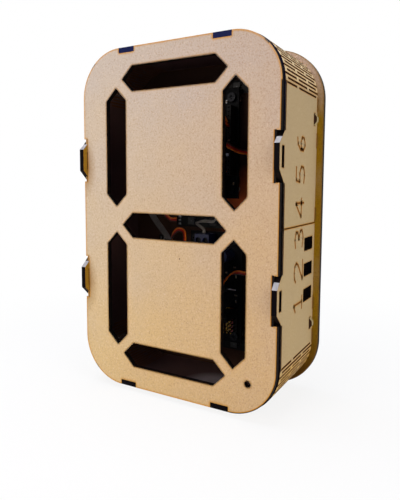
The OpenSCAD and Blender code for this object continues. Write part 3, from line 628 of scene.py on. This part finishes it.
def band_lead(node, route, side_from, side_to, sleeves):
    """Round wires side by side along a route in mm, in a row that turns from one way to another."""
    line = through([spot(*p) for p in route])
    curve = bpy.data.curves.new(node + "_wires", "CURVE")
    curve.dimensions = "3D"
    curve.bevel_depth = WIRE_RADIUS / 1000
    curve.bevel_resolution = 3
    curve.use_fill_caps = True
    for number, wire_sleeve in enumerate(sleeves):
        curve.materials.append(wire_sleeve)
        spline = curve.splines.new("POLY")
        spline.points.add(len(line) - 1)
        spline.material_index = number
        spline.use_smooth = True
        shift = ((len(sleeves) - 1) / 2 - number) * WIRE_GAP / 1000
        for k, (place, course) in enumerate(line):
            part = k / (len(line) - 1)
            row = Vector(side_from) * (1 - part) + Vector(side_to) * part
            row = (row - row.dot(course) * course).normalized()
            spline.points[k].co = (*(place + shift * row), 1)
    piece = bpy.data.objects.new(node + "_wires", curve)
    bpy.context.scene.collection.objects.link(piece)
    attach(piece, "root")
    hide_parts(node)


for node, side_from, side_to, route in [
        ("lead_a", UP, ACROSS, [(29, LOW, 83.7), (31, LOW, 83.7), (36, ARCH, 82.9), (39, ARCH, 79.9),
                                (39.8, LOW, 74.9), (39.8, LOW, 72.9)]),
        ("lead_b", DOWN, DOWN, [(17.9, SOCKET_FACE, 46.5), (17.9, 33.4, 46.5), (20.5, 33.6, 45),
                                (23.5, 38, 43), (28, 42, 42), (32.2, 46.8, 40.8), (33.8, LOW, 40.5),
                                (35.8, LOW, 40.5)]),
        ("lead_c", ACROSS, UP, [(17.99, 27.3, -57.65), (17.99, 23, -57.65), (18.4, 21.5, -49),
                                (18.6, 27, -38), (21, 37, -32.5), (28, 41, -33), (31.6, 46.4, -35),
                                (33.8, LOW, -36), (35.8, LOW, -36)]),
        ("lead_d", BACK, UP, [(39.8, LOW, -70.9), (39.8, LOW, -72.9), (39, ARCH, -77.9), (36, ARCH, -80.9),
                              (31, LOW, -81.7), (29, LOW, -81.7)]),
        ("lead_e", ACROSS, UP, [(17.99, 27.3, -60.19), (17.99, 22.5, -60.19), (14, 19, -58), (2, 20, -48),
                                (-9, 24, -30), (-14, 36, -15), (-18.5, 41.5, -9), (-24, 42, -8.5),
                                (-29, 43, -14.5), (-32, 47.4, -21.5), (-33.8, LOW, -24), (-35.8, LOW, -24)]),
        ("lead_f", UP, ACROSS, [(17.9, SOCKET_FACE, 58), (17.9, 32, 58), (17, 31, 61.5), (11, 35, 66),
                                (0, 34, 66.5), (-15, 32, 68.5), (-29, 31, 75), (-36, 39, 79),
                                (-39.6, 46.5, 79), (-39.8, LOW, 74.9), (-39.8, LOW, 72.9)]),
        ("lead_g", ACROSS, UP, [(-39.8, LOW, 14.9), (-39.8, LOW, 12.9), (-39.4, ARCH, 3.8), (-35, ARCH, -1.6),
                                (-31, LOW, -2.2), (-29, LOW, -2.2)]),
        ("lead_dot", UP, ACROSS, [(43.8, LOW, -62), (46.6, LOW, -62), (49.3, ARCH + 0.1, -67.5),
                                  (48.9, LOW, -77.7), (48.9, LOW, -79.7)])]:
    band_lead(node, route, side_from, side_to, three_sleeves)
band_lead("link_ribbon", [(-30.5, SOCKET_FACE, 32), (-30.5, 31, 32), (-33.5, 27.5, 27), (-38, 30, 13),
                          (-37.6, 33.5, 1.5), (-26, 34, -12.5), (-18, 33, -24), (-12.5, 33.5, -31),
                          (-11.5, 38, -33.5), (-11.5, 43.8, -33.5)], UP, UP, (grey_sleeve,) * 4)
band_lead("power_lead", [(-2.45, 40.9, -9), (-2.45, 40.9, -6.5), (-6, 38, -2.5), (1, 35, -0.6), (8, 35, -0.5),
                         (9.5, 36, 4), (3, 35, 10), (-3, 35.5, 16), (-4, 38.5, 18), (-4, 43.8, 18)],
          ACROSS, UP, (pale_sleeve,) * 2)


# Light strips: black solder-masked strip board, stuck to the mounting plate, with tinned joints at its ends.
# The square light packages soldered on it are black too. Each has a round well filled with clear silicone,
# its chip near the middle and three legs on each side.
def block(bm, x, depth, z, size, bevel=0.0, material=0):
    """A block about a point in mm, with its sides along the axes and, if asked, soft edges."""
    made = bmesh.ops.create_cube(bm, size=1.0)["verts"]
    bmesh.ops.scale(bm, vec=Vector(size) / 1000, verts=made)
    bmesh.ops.translate(bm, vec=spot(x, depth, z), verts=made)
    for face in {f for v in made for f in v.link_faces}:
        face.material_index = material
    if bevel:
        edges = list({e for v in made for e in v.link_edges})
        bmesh.ops.bevel(bm, geom=edges, offset=bevel / 1000, segments=2, profile=0.5, affect="EDGES",
                        material=-1)


def bead(bm, x, depth, z, radius, flat, segments=12):
    """A bead of solder about a point, its radius in mm, flattened towards the board."""
    made = bmesh.ops.create_uvsphere(bm, u_segments=segments, v_segments=6, radius=radius / 1000)["verts"]
    bmesh.ops.scale(bm, vec=(1, flat, 1), verts=made)
    bmesh.ops.translate(bm, vec=spot(x, depth, z), verts=made)


# Solder mask, screened on and baked: an even near-black with a soft, weak sheen.
strip_board = mottled("solder_mask_black", "#060607", "#0f0f11", 3.85, 0.42, specular=0.15)
# Moulded epoxy: a flat black that hides the packages against their strip.
package_black = mottled("black_epoxy_package", "#0b0b0c", "#141416", 2.0)
# Cast clear silicone over a dark base: a wet gleam on a murky yellowish brown.
well_fill = mottled("clear_silicone_well", "#1c1a12", "#2c281a", 1.11, 0.2, ior=1.42)
# Solder, melted and set: a soft grey metal with a bright glint on each bead.
joint_tin = mottled("solder_tin", "#54565a", "#7a7c80", 1.43, 0.28, 1.0)
strips = {key: box("strip_" + key) for key in ("a", "b", "c", "d", "e", "f", "g", "dot")}
dress(strip_board, *["strip_" + key for key in strips])

LIGHT_STEP = 16.6
LIGHT_SIZE, LIGHT_DEPTH = (4.9, 1.4, 4.9), STRIP_FACE - 0.75
LEG_SIZE, LEG_DEPTH, LEG_OFF, LEG_STEP = (0.4, 0.7, 0.9), STRIP_FACE - 0.35, 2.45, 1.6
WELL_RADIUS, WELL_DEPTH, WELL_STEP, WELL_SINK = 1.9, STRIP_FACE - 1.47, 0.3, 0.1
DIE_SIZE, DIE_DEPTH, DIE_OFF = (0.5, 0.12, 0.5), STRIP_FACE - 1.44, 0.2
JOINT_LONG, JOINT_WIDE, JOINT_THICK, JOINT_INSET, JOINT_STEP = 2.4, 1.6, 0.08, 2.4, 2.4
SILICONE, TIN = 1, 2
light_centres = []
joint_centres = []
for key, (low, high) in strips.items():
    middle = (low + high) / 2
    lies = high.x - low.x > high.z - low.z
    if key == "dot":
        light_centres.append((middle.x, middle.z))
        continue
    for k in (-1, 0, 1):
        light_centres.append((middle.x + LIGHT_STEP * k * lies, middle.z + LIGHT_STEP * k * (not lies)))
    reach = max(high.x - low.x, high.z - low.z) / 2 - JOINT_INSET
    for end, k in itertools.product((-1, 1), (-1, 0, 1)):
        along, over = end * reach, k * JOINT_STEP
        right, up = (along, over) if lies else (over, along)
        joint_centres.append((middle.x + right, middle.z + up, lies))
bm = bmesh.new()
for x, z in light_centres:
    block(bm, x, LIGHT_DEPTH, z, LIGHT_SIZE, 0.15)
    ring = bmesh.ops.create_circle(bm, cap_ends=True, segments=28, radius=WELL_RADIUS / 1000)["verts"]
    bmesh.ops.rotate(bm, verts=ring, matrix=Matrix.Rotation(math.pi / 2, 3, "X"))
    bmesh.ops.translate(bm, vec=spot(x, WELL_DEPTH, z), verts=ring)
    well = list({f for v in ring for f in v.link_faces})
    for face in well:
        face.material_index = SILICONE
    bmesh.ops.inset_region(bm, faces=well, thickness=WELL_STEP / 1000, depth=-WELL_SINK / 1000)
    block(bm, x + DIE_OFF, DIE_DEPTH, z, DIE_SIZE, 0.0, TIN)
    for side, k in itertools.product((-1, 1), (-1, 0, 1)):
        block(bm, x + side * LEG_OFF, LEG_DEPTH, z + k * LEG_STEP, LEG_SIZE, 0.05, TIN)
packages = new_piece(bm, "light_packages", package_black, "light_cover",
                     *["lights_" + key for key in "abcdefg"], "light_dot")
for material in (well_fill, joint_tin):
    packages.data.materials.append(material)

bm = bmesh.new()
for x, z, lies in joint_centres:
    wide, high = (JOINT_LONG, JOINT_WIDE) if lies else (JOINT_WIDE, JOINT_LONG)
    block(bm, x, STRIP_FACE - JOINT_THICK / 2, z, (wide, JOINT_THICK, high), 0.02)
    bead(bm, x, STRIP_FACE - 0.05, z, 0.75, 0.45)
new_piece(bm, "strip_joints", joint_tin, "tinned_metal", smooth=True)


# Circuit boards: glass-epoxy sheet under a very dark solder mask, screwed to spacers on the mounting plate.
# The sockets, chips and connectors are soldered on.
TRACK_NET = 2.63
# Dark solder mask: nearly black and almost without shine, with a faint net of raised tracks and a dull olive
# edge of bare epoxy. Real tracks are about 0.3 mm apart, too fine to show, so the net is drawn at 2.6 mm.
board_mask, tree, shader = finish("solder_mask_dark", specular=0.06)
tracks = add(tree, "TexVoronoi", {"Vector": add(tree, "TexCoord", out=3), "Scale": 1000 / TRACK_NET},
             feature="DISTANCE_TO_EDGE", distance="MANHATTAN")
line_share = add(tree, "MapRange", {0: tracks, 1: 0.03, 2: 0.06, 3: 1.0, 4: 0.0})
look_y = add(tree, "SeparateXYZ", {0: add(tree, "NewGeometry", out=1)}, out=1)
look_y = add(tree, "Math", {0: look_y}, operation="ABSOLUTE")
edge = add(tree, "Math", {0: look_y, 1: 0.5}, operation="LESS_THAN")
mask_colour = add(tree, "Mix", {0: line_share, 6: "#040508", 7: "#0b0d13"}, out=2, data_type="RGBA")
mask_colour = add(tree, "Mix", {0: edge, 6: mask_colour, 7: "#1e1c14"}, out=2, data_type="RGBA")
tree.links.new(mask_colour, shader.inputs["Base Color"])
raised = add(tree, "Bump", {"Height": line_share, "Strength": 0.4, "Distance": 0.0001})
tree.links.new(raised, shader.inputs["Normal"])
dress(board_mask, "controller_board", "driver_board")

# Tin-plated steel, stamped and drawn: a dim grey metal with upright streaks.
tin_plate, tree, shader = finish("tin_plated_steel", 0.32, 1.0)
drawn = patches(tree, 2.0, 3.0, stretch=(1, 1, 0.3))
tree.links.new(add(tree, "Mix", {0: drawn, 6: "#36373a", 7: "#54565a"}, out=2, data_type="RGBA"),
               shader.inputs["Base Color"])
tree.links.new(add(tree, "MapRange", {0: drawn, 3: 0.22, 4: 0.42}), shader.inputs["Roughness"])
dress(tin_plate, "controller_legs", "driver_legs", "usb_socket", "crystal")

# Moulded plastic, nylon in the sockets and epoxy in the chips: black and matt with a fine grain.
dress(mottled("moulded_plastic_black", "#050506", "#101012", 0.833, 0.6, specular=0.2, grain=0.2),
      "socket_strips", "controller_chip", "driver_chip", "power_jack", "header_ground", "lead_plugs")
# Steel: dark screws and nuts, near black all over, with a dull gleam.
dress(mottled("dark_steel", "#121214", "#242528", 1.25, 0.45, 1.0, detail=3.0),
      "board_screws", "board_nuts", "terminal_screws")
# Brass pins with a thin gilt: a dark, warm gold that glints along one side.
dress(mottled("gilt_brass_pins", "#4a3614", "#6a5020", 1.11, 0.25, 1.0), "header_pins")
# Drawn aluminium: a light grey can with streaks down its side.
dress(mottled("aluminium_can", "#7c7e82", "#a4a6aa", 1.43, 0.35, 1.0, stretch=(1, 0.1, 1)),
      "board_capacitors")
# Moulded or shrunk plastics: one even colour each, with a half-shine.
for name, low, high, node in [("shrunk_sleeve_navy", "#10182e", "#1c2848", "driver_capacitor"),
                              ("moulded_plastic_blue", "#040d30", "#08164a", "terminal_block"),
                              ("moulded_plastic_yellow", "#b08a08", "#d0a81c", "header_signal"),
                              ("moulded_plastic_red", "#740e0c", "#901612", "header_power"),
                              ("moulded_nylon", "#cfcabb", "#e2ded2", "board_spacers")]:
    dress(mottled(name, low, high, 2.5, 0.4, grain=0.15), node)


# Small soldered parts: chip resistors and capacitors of fired ceramic with tinned ends, a status light, a
# test pad and a wire bridge, all on the front of the boards. On the rear are the round joints of the pins.
# Fired ceramic: matt and brownish, with pale and dark parts in the same row.
ceramic = mottled("fired_ceramic_chip", "#3c3026", "#8a7458", 1.43)
# Cast white epoxy: a small, cool white dot with a soft shine.
status_white = mottled("status_light_epoxy", "#d6e0f4", "#eef4ff", 2.0, 0.3)
# Tinned copper, newly dipped: a bright silver pad and a bright silver wire.
tin_plate_bright = mottled("tinned_copper_bright", "#b8bcc8", "#e2e6f0", 2.0, 0.3, 1.0, detail=3.0)
SOLDER_TIN, WHITE_EPOXY, BRIGHT_TIN = 1, 2, 3
BOARD_FRONT, BOARD_REAR = box("controller_board")[0].y, box("controller_board")[1].y
CHIP_LONG, CHIP_WIDE, CHIP_THICK = 1.2, 1.0, 0.55
END_LONG, END_THICK, END_OFF = 0.4, 0.6, 0.8
# Right of the middle and above it, first on the controller and then on the driver board.
small_parts = [(-20, 27), (-20, 24), (-14, 27.5), (-8, 24), (-2, 28), (4, 33), (13.6, 46), (13.6, 50),
               (13.6, 54), (-16, 60), (-16, 57), (-12, 71), (-4, 72), (4, 70), (12, 74), (-24, 76), (14, 30),
               (15, 18.5), (17.4, 23), (-9.5, -33), (-4.5, -33.6), (1.5, -33), (4, -50), (4, -54), (5, -60),
               (-10, -62), (-10, -66), (-4, -68), (2, -70), (19, -30), (20, -36), (20, -48), (20, -52),
               (13, -34), (9.4, -36), (8, -28), (-9, -26)]
bm = bmesh.new()
for number, (x, z) in enumerate(small_parts):
    lies = number % 2
    for off, long, thick, material in ((0, CHIP_LONG, CHIP_THICK, 0),
                                       (-END_OFF, END_LONG, END_THICK, SOLDER_TIN),
                                       (END_OFF, END_LONG, END_THICK, SOLDER_TIN)):
        block(bm, x + off * lies, BOARD_FRONT - END_THICK / 2, z + off * (1 - lies),
              (long, thick, CHIP_WIDE) if lies else (CHIP_WIDE, thick, long), 0.05, material)
# The status light stands in the right sockets.
block(bm, 17.8, SOCKET_FACE - 0.9, 40.6, (1.2, 1.8, 1.8), 0.3, WHITE_EPOXY)
# The test pad, and the bridge with its two feet, are on the driver board.
block(bm, 11.6, BOARD_FRONT - 0.4, -39.8, (1.6, 0.7, 1.1), 0.1, BRIGHT_TIN)
block(bm, 16.7, BOARD_FRONT - 0.8, -44.4, (6.6, 0.9, 0.9), 0.3, BRIGHT_TIN)
for x in (13.9, 19.5):
    block(bm, x, BOARD_FRONT - 0.3, -44.4, (0.9, 0.6, 0.9), 0.1, BRIGHT_TIN)
chips = new_piece(bm, "small_board_parts", ceramic, "black_plastic")
for material in (joint_tin, status_white, tin_plate_bright):
    chips.data.materials.append(material)

# Joints behind the controller's two rows of sockets, eight to a strip, and behind the header's three columns.
PIN_STEP = 2.54
SOCKET_HALF, SOCKET_STARTS, SOCKET_PINS = 1.25, (28, 50), 8
HEADER_COLUMNS, HEADER_PINS = 3, 6
sockets_low, sockets_high = box("socket_strips")
header_low, header_high = box("header_signal")
joints = [(x, first + (k + 0.5) * PIN_STEP)
          for x in (sockets_low.x + SOCKET_HALF, sockets_high.x - SOCKET_HALF)
          for first in SOCKET_STARTS for k in range(SOCKET_PINS)]
joints += [(header_low.x + (column + 0.5) * PIN_STEP, header_high.z - (k + 0.5) * PIN_STEP)
           for column in range(HEADER_COLUMNS) for k in range(HEADER_PINS)]
bm = bmesh.new()
for x, z in joints:
    bead(bm, x, BOARD_REAR, z, 0.85, 0.7, segments=10)
new_piece(bm, "rear_joints", joint_tin, "tinned_metal", smooth=True)
